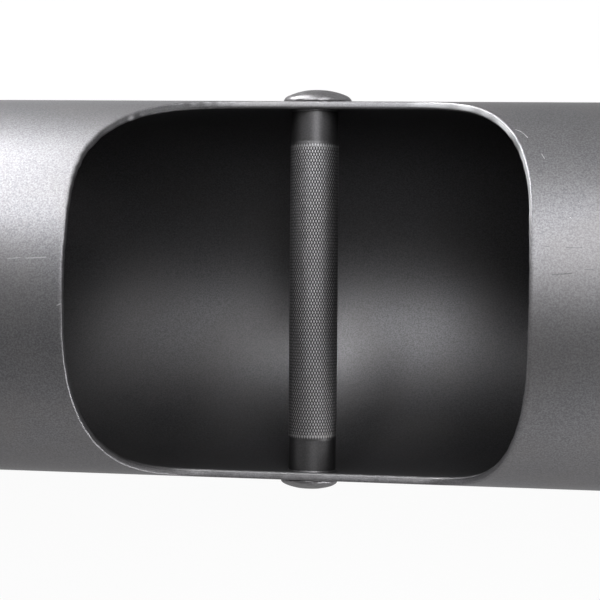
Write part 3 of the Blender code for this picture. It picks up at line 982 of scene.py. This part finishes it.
# Ground domes: diameter, height, shift towards +X, reach up towards the window, and each
# ground flat's direction in degrees (from +X, turning upwards), its slope, and its plane's
# height over the middle
DOMES = {
    ("right", "back"): (
        0.0548, 0.0102, 0.0004, 0.0217, ((140, 0.44, 0.0142), (48, 0.52, 0.0146), (96, 0.34, 0.0124)),
    ),
    ("right", "front"): (
        0.0464, 0.0081, -0.0006, 0.0224, ((128, 0.44, 0.0116), (52, 0.46, 0.0122), (92, 0.30, 0.0096)),
    ),
    ("left", "back"): (0.0540, 0.0099, -0.0005, 0.0217, ((60, 0.42, 0.0137), (150, 0.46, 0.0145))),
    ("left", "front"): (0.0470, 0.0082, 0.0006, 0.0224, ((100, 0.38, 0.0112), (20, 0.40, 0.0124))),
}
DOME_COLUMNS = 120
DOME_ROWS = 22
DOME_FOOT = 0.0009
DOME_LEAST_RISE = 0.0006
DOME_UNDERCUT = 0.0004
GROUND_EDGE = 0.00012

# Unevenness of the domes: how much, and its noise's scale
SEED_STEP = 3.1
FOOT_WAVES = ((0.015, 1.6), (0.012, 7))
GRINDING_WAVER = (0.00025, 260)
FOOT_LUMPS = (0.0010, 330)


def dome_point(x, y, share, seed, height, lift_sign, flats):
    """A dome's height at a place, where share runs 0 to 1 from its middle to its foot."""
    rise = DOME_FOOT + (height - DOME_FOOT) * cos(QUARTER_TURN * share)
    waver, waver_scale = GRINDING_WAVER
    for towards, slope, level in flats:
        angle = radians(towards)
        ahead = x * cos(angle) + lift_sign * y * sin(angle)
        plane = level - slope * ahead + waver * noise.noise(Vector((x, y, seed)) * waver_scale)
        rise = min(plane, rise) - GROUND_EDGE * log1p(exp(-abs(plane - rise) / GROUND_EDGE))
    lump, lump_scale = FOOT_LUMPS
    rise += lump * share ** 5 * noise.noise(Vector((x, y, seed)) * lump_scale)
    return x, y, TUBE_RADIUS + max(rise, DOME_LEAST_RISE)


def make_dome(side, sign, place, direction, seed):
    """A plug weld ground to a low dome with flats and a lumpy foot, following the tube."""
    diameter, height, shift, up_reach, flats = DOMES[side, place]
    lift_sign = -direction
    squash = up_reach / (diameter / 2)
    angles = [FULL_TURN * column / DOME_COLUMNS for column in range(DOME_COLUMNS)]
    points = []
    for share in shares(DOME_ROWS):
        for angle in angles:
            around = Vector(polar(1.0, angle, seed * SEED_STEP))
            foot = 1 + sum(wave * noise.noise(around * scale) for wave, scale in FOOT_WAVES)
            x, y, _ = polar(diameter / 2 * foot * sin(QUARTER_TURN * share), angle, 0.0)
            y *= squash if lift_sign * y > 0 else 1.0
            points.append(dome_point(x, y, share, seed, height, lift_sign, flats))
    for radius, level in (
        (diameter / 2 - DOME_UNDERCUT, TUBE_RADIUS + SEAT_GAP),
        (BAR_RADIUS, TUBE_RADIUS + SEAT_GAP),
        (BAR_RADIUS, HANDLE_REACH + GAP),
        (0.0, HANDLE_REACH + GAP),
    ):
        for angle in angles:
            x, y, _ = polar(radius, angle, level)
            y *= squash if radius > BAR_RADIUS and lift_sign * y > 0 else 1.0
            points.append((x, y, level))
    faces = grid_faces(len(points) // DOME_COLUMNS, DOME_COLUMNS, round_columns=False)
    over_bar = HANDLE_REACH + 2 * GAP
    bent = [(x, y, z - drop(TUBE_RADIUS, y) if z > over_bar else z) for x, y, z in points]
    mesh = make_mesh("dome", bent, faces, sharp_degrees=32.0)
    turn = Matrix.Rotation(-direction * QUARTER_TURN, 4, "X")
    mesh.transform(Matrix.Translation((sign * HANDLE_PLACE + shift, 0.0, AXIS_HEIGHT)) @ turn)
    node = f"plug_weld_{side}_{place}"
    add_piece(node + "_ground", mesh, "weld", node)


def round_corners(profile, edge):
    """A closed profile of (radius, height) with each corner off the axis rounded, marked for wear."""
    rounded = []
    for index, corner in enumerate(profile):
        corner = Vector(corner)
        if corner.x == 0.0:
            rounded.append((corner.x, corner.y, 0.0))
            continue
        before = (Vector(profile[index - 1]) - corner).normalized() * edge + corner
        after = (Vector(profile[(index + 1) % len(profile)]) - corner).normalized() * edge + corner
        for share in shares(ROUNDING_STEPS):
            point = before * (1 - share) ** 2 + corner * 2 * share * (1 - share) + after * share ** 2
            rounded.append((point.x, point.y, 1.0 - abs(2 * share - 1)))
    return rounded


def turned_mesh(name, profile, sides, edge):
    """A turned piece in its own frame, with Z as its axis, from a closed profile."""
    outline = round_corners(profile, edge)
    angles = [FULL_TURN * column / sides for column in range(sides)]
    points = [polar(radius, angle, height) for angle in angles for radius, height, _ in outline]
    faces = grid_faces(sides, len(outline))
    wear = [mark for _, _, mark in outline] * sides
    return make_mesh(name, points, faces, sharp_degrees=40.0, edge=wear)


def stitch_taper(share):
    """A stitch's size along its length, low at both tips."""
    return STITCH_TIP + (1 - STITCH_TIP) * (1 - abs(2 * share - 1) ** 6) ** 0.5


def make_end(side, sign):
    """The plates, the sleeve and their welds at one end, with Z pointing outwards."""
    matrix = Matrix.Translation((0.0, 0.0, AXIS_HEIGHT)) @ Matrix.Rotation(sign * QUARTER_TURN, 4, "Y")
    bore = BORE_RADIUS - GAP
    hole = SLEEVE_RADIUS + GAP
    pipe_bore = SLEEVE_RADIUS - SLEEVE_WALL
    start, tip = SLEEVE_LOW.x, SLEEVE_HIGH.x
    end_plate, bulkhead = (
        [(hole, face), (bore, face), (bore, back), (hole, back)]
        for back, face in ((END_PLATE_BACK, END_PLATE_FACE), (BULKHEAD_BACK, BULKHEAD_FACE))
    )
    sleeve = [
        (pipe_bore, tip), (SLEEVE_RADIUS, tip), (SLEEVE_RADIUS, tip - SLEEVE_END_RING),
        (SLEEVE_RADIUS, start + SLEEVE_END_RING), (SLEEVE_RADIUS, start), (pipe_bore, start),
    ]
    cap = [
        (0.0, CAP_HIGH.x), (CAP_RADIUS * CAP_RING, CAP_HIGH.x), (CAP_RADIUS, CAP_HIGH.x),
        (CAP_RADIUS, CAP_LOW.x), (0.0, CAP_LOW.x),
    ]
    for name, ending, material, sides, edge, profile in (
        ("end_plate", "flat", "plate", PLATE_SIDES, 0.0006, end_plate),
        ("bulkhead", "flat", "plate", PLATE_SIDES, 0.0008, bulkhead),
        ("sleeve", "pipe", "sleeve", SLEEVE_SIDES, 0.0012, sleeve),
        ("sleeve_cap", "disc", "plate", SLEEVE_SIDES, 0.0012, cap),
    ):
        mesh = turned_mesh(name, profile, sides, edge)
        mesh.transform(matrix)
        add_piece(f"{name}_{side}_{ending}", mesh, material, f"{name}_{side}")

    beads = (
        ("end_plate_weld", (bore, END_PLATE_FACE + SEAT_GAP), -0.006, 0.006),
        ("sleeve_weld", (hole, END_PLATE_FACE + SEAT_GAP), 0.007, 0.007),
        ("stub_weld", (hole, BULKHEAD_BACK - SEAT_GAP), 0.005, -0.005),
        ("sleeve_cap_weld", (CAP_RADIUS + GAP, CAP_LOW.x), 0.0026, 0.0026),
    )
    for number, (name, corner, radial_leg, height_leg) in enumerate(beads):
        section = fillet_section(corner, radial_leg, height_leg)
        mesh = bead_mesh(name, section, 10 * number + sign, LUMPS_PER_LEG * abs(radial_leg))
        mesh.transform(matrix)
        add_piece(f"{name}_{side}_rippled", mesh, "weld", f"{name}_{side}")

    corner = (BORE_RADIUS - SEAT_GAP, BULKHEAD_BACK - SEAT_GAP)
    section = fillet_section(corner, -STITCH_LEG, -STITCH_LEG)
    arc = STITCH_LENGTH / BORE_RADIUS
    for number in range(1, 5):
        mesh = bead_mesh("stitch", section, 50 + number + sign, STITCH_LUMPS, arc, stitch_taper)
        mesh.transform(matrix @ Matrix.Rotation(QUARTER_TURN * (number - 0.5), 4, "Z"))
        node = f"bulkhead_stitch_{side}_{number}"
        add_piece(node + "_rippled", mesh, "weld", node)


make_shell()
for side, sign in SIDES:
    make_handle(side, sign)
    for place, direction in (("back", 1), ("front", -1)):
        seed = 4 * sign + direction
        make_handle_fillet(side, sign, place, direction, seed)
        make_dome(side, sign, place, direction, seed)
    make_end(side, sign)


WHITE = (1.0, 1.0, 1.0, 1.0)

# The floor: its size, how far it lies under the log, its share of plain white near the log and
# far off, between these distances
FLOOR_SIZE = 60.0
FLOOR_DROP = 0.0002
FLOOR_COLOUR = (0.8, 0.8, 0.8, 1.0)
WHITE_SHARES = (0.95, 1.0)
WHITE_DISTANCES = (1.5, 5.0)

# Levels of what the coat mirrors overhead, past this rise, and of the plain light from all round
SKY_RISE = (0.20, 0.75)
OVERHEAD_LEVEL = 0.22
WORLD_LIGHT = 0.05

# Softboxes round the photographed handle: elevation and azimuth in degrees (azimuth from +X
# towards +Y), distance, width, height, power, beam angle in degrees, and where it aims
SOFTBOXES = {
    "key_above": (52, 68, 2.3, 0.6, 1.7, 48.0, 180, (HANDLE_PLACE + 0.05, 0.0, 0.2)),
    "overhead": (74, 45, 2.3, 1.0, 1.0, 11.5, 180, (HANDLE_PLACE + 0.05, 0.0, 0.2)),
    "low_back_left": (2, 138, 1.6, 1.2, 0.3, 5.7, 46, (-0.06, 0.1, 0.2)),
    "back_left": (15, 138, 1.6, 1.2, 0.3, 1.3, 46, (-0.06, 0.1, 0.2)),
    "high_back_left": (38, 130, 1.6, 0.9, 0.4, 2.0, 42, (-0.14, 0.1, 0.2)),
    "low_front": (10, -40, 1.7, 1.0, 0.4, 2.6, 45, (0.5, -0.1, 0.2)),
}
SOFTBOX_MIDDLE = Vector((HANDLE_PLACE + 0.05, 0.0, AXIS_HEIGHT + 0.05))
LIGHT_COLOUR = (0.98, 0.99, 1.0)

# The photograph's camera: its place over the handle and its turn in degrees
CAMERA_PLACE = (HANDLE_PLACE + 0.0927, 0.0090, AXIS_HEIGHT + 1.0114)
CAMERA_TURN = (-0.816, 5.869, 1.089)
CAMERA_LENS = 75.0
CAMERA_SENSOR = 36.0
CAMERA_CLIP_END = 100.0


def make_floor():
    """A plain white floor that keeps a soft share of the object's shadow."""
    half = FLOOR_SIZE / 2
    mesh = bpy.data.meshes.new("floor")
    corners = [(-half, -half, 0), (half, -half, 0), (half, half, 0), (-half, half, 0)]
    mesh.from_pydata(corners, [], [(0, 1, 2, 3)])
    floor = add_object("floor", mesh)
    floor.location.z = -FLOOR_DROP
    material = bpy.data.materials.new("white_floor")
    material.use_nodes = True
    tree = material.node_tree
    tree.nodes.clear()
    path = add_node(tree, "ShaderNodeLightPath")
    seen = calc(tree, "MAXIMUM", path["Is Camera Ray"], path["Is Glossy Ray"])
    seen = calc(tree, "MAXIMUM", seen, path["Is Transmission Ray"])
    glow = add_node(tree, "ShaderNodeEmission", {"Color": WHITE, "Strength": 1.0})[0]
    matt = add_node(tree, "ShaderNodeBsdfDiffuse", {"Color": FLOOR_COLOUR})[0]
    far = vector_calc(tree, "LENGTH", add_node(tree, "ShaderNodeTexCoord")["Object"], output="Value")
    share = calc(tree, "*", seen, remap(tree, far, *WHITE_DISTANCES, *WHITE_SHARES))
    mixed = add_node(tree, "ShaderNodeMixShader", {0: share, 1: matt, 2: glow})[0]
    add_node(tree, "ShaderNodeOutputMaterial", {"Surface": mixed})
    spread_nodes(tree)
    mesh.materials.append(material)


def make_light():
    """The softboxes, unseen by the camera."""
    for name, (elevation, azimuth, distance, width, height, power, beam, aim) in SOFTBOXES.items():
        rise, turn = radians(elevation), radians(azimuth)
        towards = Vector(polar(cos(rise), turn, sin(rise)))
        lamp = bpy.data.lights.new(name, "AREA")
        lamp.shape = "RECTANGLE"
        lamp.size, lamp.size_y = width, height
        lamp.energy = power
        lamp.color = LIGHT_COLOUR
        lamp.spread = radians(beam)
        box = add_object(name, lamp)
        box.location = SOFTBOX_MIDDLE + towards * distance
        box.rotation_euler = (box.location - Vector(aim)).to_track_quat("Z", "Y").to_euler()
        box.visible_camera = False


def make_world():
    """White round the horizon, greyer overhead for the coat to mirror, and a plain grey light."""
    world = bpy.data.worlds.new("studio")
    bpy.context.scene.world = world
    world.use_nodes = True
    tree = world.node_tree
    tree.nodes.clear()
    rise = split(tree, add_node(tree, "ShaderNodeTexCoord")["Generated"])["Z"]
    sky = remap(tree, rise, *SKY_RISE, 1.0, OVERHEAD_LEVEL)
    path = add_node(tree, "ShaderNodeLightPath")
    mirrored = calc(tree, "MAXIMUM", path["Is Glossy Ray"], path["Is Transmission Ray"])
    level = add_node(tree, "ShaderNodeMix", {0: mirrored, 2: WORLD_LIGHT, 3: sky}, data_type="FLOAT")[0]
    level = calc(tree, "MAXIMUM", level, path["Is Camera Ray"])
    background = add_node(tree, "ShaderNodeBackground", {"Color": WHITE, "Strength": level})[0]
    add_node(tree, "ShaderNodeOutputWorld", {"Surface": background})
    spread_nodes(tree)


def make_camera():
    """The photograph's camera, about a metre above the handle and a little past it."""
    data = bpy.data.cameras.new("camera")
    data.lens = CAMERA_LENS
    data.sensor_width = CAMERA_SENSOR
    data.clip_end = CAMERA_CLIP_END
    camera = add_object("camera", data)
    camera.location = CAMERA_PLACE
    camera.rotation_euler = [radians(angle) for angle in CAMERA_TURN]
    bpy.context.scene.camera = camera


make_floor()
make_light()
make_world()
make_camera()
bpy.context.scene.view_settings.view_transform = "Standard"
